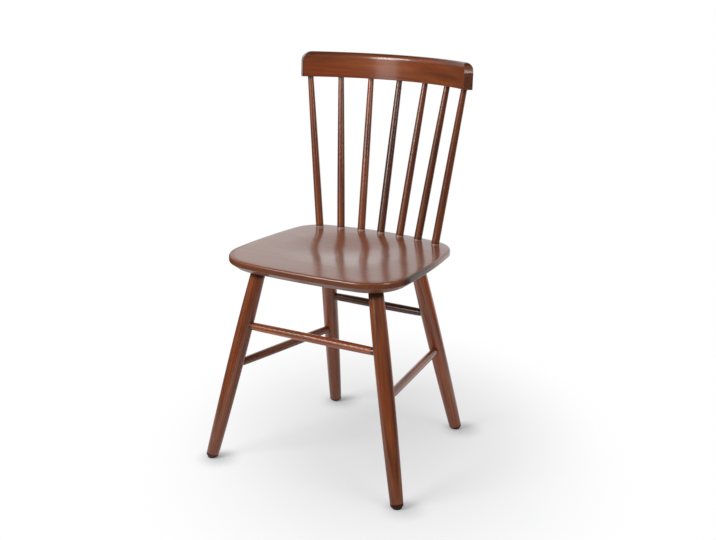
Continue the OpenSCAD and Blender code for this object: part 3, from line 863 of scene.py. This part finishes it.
def paint_floor(graph, here, studio):
    """White paper that keeps the chair's shadow. To the camera it fades to pure white further
    out, and in the lacquer it is white round the shade and ends at the dim room."""
    x, y = graph.parts(here)[:2]
    seen, mirrored = seen_and_mirrored(graph)
    outward = floor_shade(x, y, studio)
    veil = outward.between(0, 1) * (1 - studio.shadow_veil) + studio.shadow_veil
    for node in GLIDES:
        middle = sum(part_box(node), Vector()) / 2
        foot_x = middle.x + studio.foot_shift
        reach = ((x - foot_x) ** 2 + (y - middle.y) ** 2) ** 0.5
        veil = veil * (reach.between(0, studio.foot_reach) * (1 - studio.foot_veil)
                       + studio.foot_veil)
    paper = graph.add("ShaderNodeBsdfDiffuse", {}, {"Color": (*studio.paper, 1)})
    white = graph.add("ShaderNodeEmission", {}, {"Strength": 1.0})
    share = veil * seen + outward.between(*MIRRORED_WHITE) * mirrored
    floor = graph.add("ShaderNodeMixShader", {}, {0: share, 1: paper, 2: white})
    distance = (x * x + y * y) ** 0.5
    past = distance.between(*MIRRORED_END) * (1 - toward(x, y, BACKDROP, BACKDROP_EDGE))
    dim = graph.add("ShaderNodeEmission", {}, {"Strength": studio.room})
    surface = graph.add("ShaderNodeMixShader", {}, {0: past * mirrored, 1: floor, 2: dim})
    graph.add("ShaderNodeOutputMaterial", {}, {"Surface": surface})


def add_floor(studio):
    """A round floor under the chair."""
    bm = bmesh.new()
    bmesh.ops.create_circle(bm, cap_ends=True, segments=96, radius=FLOOR_RADIUS)
    mesh = bpy.data.meshes.new("floor")
    bm.to_mesh(mesh)
    bm.free()
    floor = bpy.data.objects.new("floor", mesh)
    bpy.context.scene.collection.objects.link(floor)
    material, graph, here = new_material("floor_white")
    paint_floor(graph, here, studio)
    dress(floor, material)


def add_world(studio):
    """White to the camera, and in the lacquer behind the chair. Elsewhere the lacquer mirrors a
    pale ceiling, a pale wall at the right and a dim room."""
    world = bpy.data.worlds.new("studio")
    bpy.context.scene.world = world
    world.use_nodes = True
    graph = Graph(world.node_tree)
    seen, mirrored = seen_and_mirrored(graph)
    x, y, z = graph.parts(graph.add("ShaderNodeTexCoord", output="Generated"))

    def glow(strength):
        return graph.add("ShaderNodeBackground", {}, {"Color": (1, 1, 1, 1),
                                                      "Strength": strength})

    backdrop = toward(x, y, BACKDROP, BACKDROP_EDGE) * (1 - z.between(*BACKDROP_TOP))
    ceiling = z.between(*CEILING_START) * (1 - z.between(*CEILING_END))
    ceiling = ceiling * (1 - toward(x, y, DIM_SIDE, DIM_EDGE) * DIMMING)
    pale = ceiling.larger(toward(x, y, WALL, WALL_EDGE) * WALL_SHARE)
    room = graph.add("ShaderNodeMixShader", {}, {0: pale, 1: glow(studio.room),
                                                 2: glow(studio.ceiling)})
    light = graph.add("ShaderNodeMixShader", {}, {0: mirrored, 1: glow(studio.fill), 2: room})
    share = seen.larger(mirrored * backdrop)
    surface = graph.add("ShaderNodeMixShader", {}, {0: share, 1: light, 2: glow(1.0)})
    graph.add("ShaderNodeOutputWorld", {}, {"Surface": surface})


class CHAIR_OT_studio(bpy.types.Operator):
    """Adds the camera, the floor, the lamps and the surrounding light"""

    bl_idname = "chair.studio"
    bl_label = "Studio"

    def execute(self, context):
        studio = context.scene.chair_studio
        add_camera(studio)
        add_floor(studio)
        add_world(studio)
        for name, (width, height, place) in LAMPS.items():
            add_lamp(name, getattr(studio, name), width, height, place)
        context.scene.view_settings.view_transform = "Standard"
        return {"FINISHED"}


class CHAIR_PT_sidebar(bpy.types.Panel):
    """Lists the chair's pieces and its studio"""

    bl_idname = "CHAIR_PT_sidebar"
    bl_label = "Spindle-back chair"
    bl_space_type = "VIEW_3D"
    bl_region_type = "UI"
    bl_category = "Chair"

    def draw(self, context):
        layout = self.layout
        for operator in OPERATORS:
            layout.operator(operator.bl_idname)


OPERATORS = [CHAIR_OT_seat, CHAIR_OT_crest, CHAIR_OT_turned, CHAIR_OT_glides, CHAIR_OT_studio]
GROUPS = {"chair_seat": SeatSizes, "chair_crest": CrestSizes, "chair_turning": TurningSizes,
          "chair_finish": Finish, "chair_studio": Studio}


def register():
    for group in GROUPS.values():
        bpy.utils.register_class(group)
    for name, group in GROUPS.items():
        setattr(bpy.types.Scene, name, PointerProperty(type=group))
    for operator in OPERATORS:
        bpy.utils.register_class(operator)
    bpy.utils.register_class(CHAIR_PT_sidebar)


def unregister():
    bpy.utils.unregister_class(CHAIR_PT_sidebar)
    for operator in OPERATORS:
        bpy.utils.unregister_class(operator)
    for name, group in GROUPS.items():
        delattr(bpy.types.Scene, name)
        bpy.utils.unregister_class(group)


def main():
    register()
    bpy.ops.chair.seat()
    bpy.ops.chair.crest()
    bpy.ops.chair.turned()
    bpy.ops.chair.glides()
    bpy.ops.chair.studio()


if __name__ == "__main__":
    main()
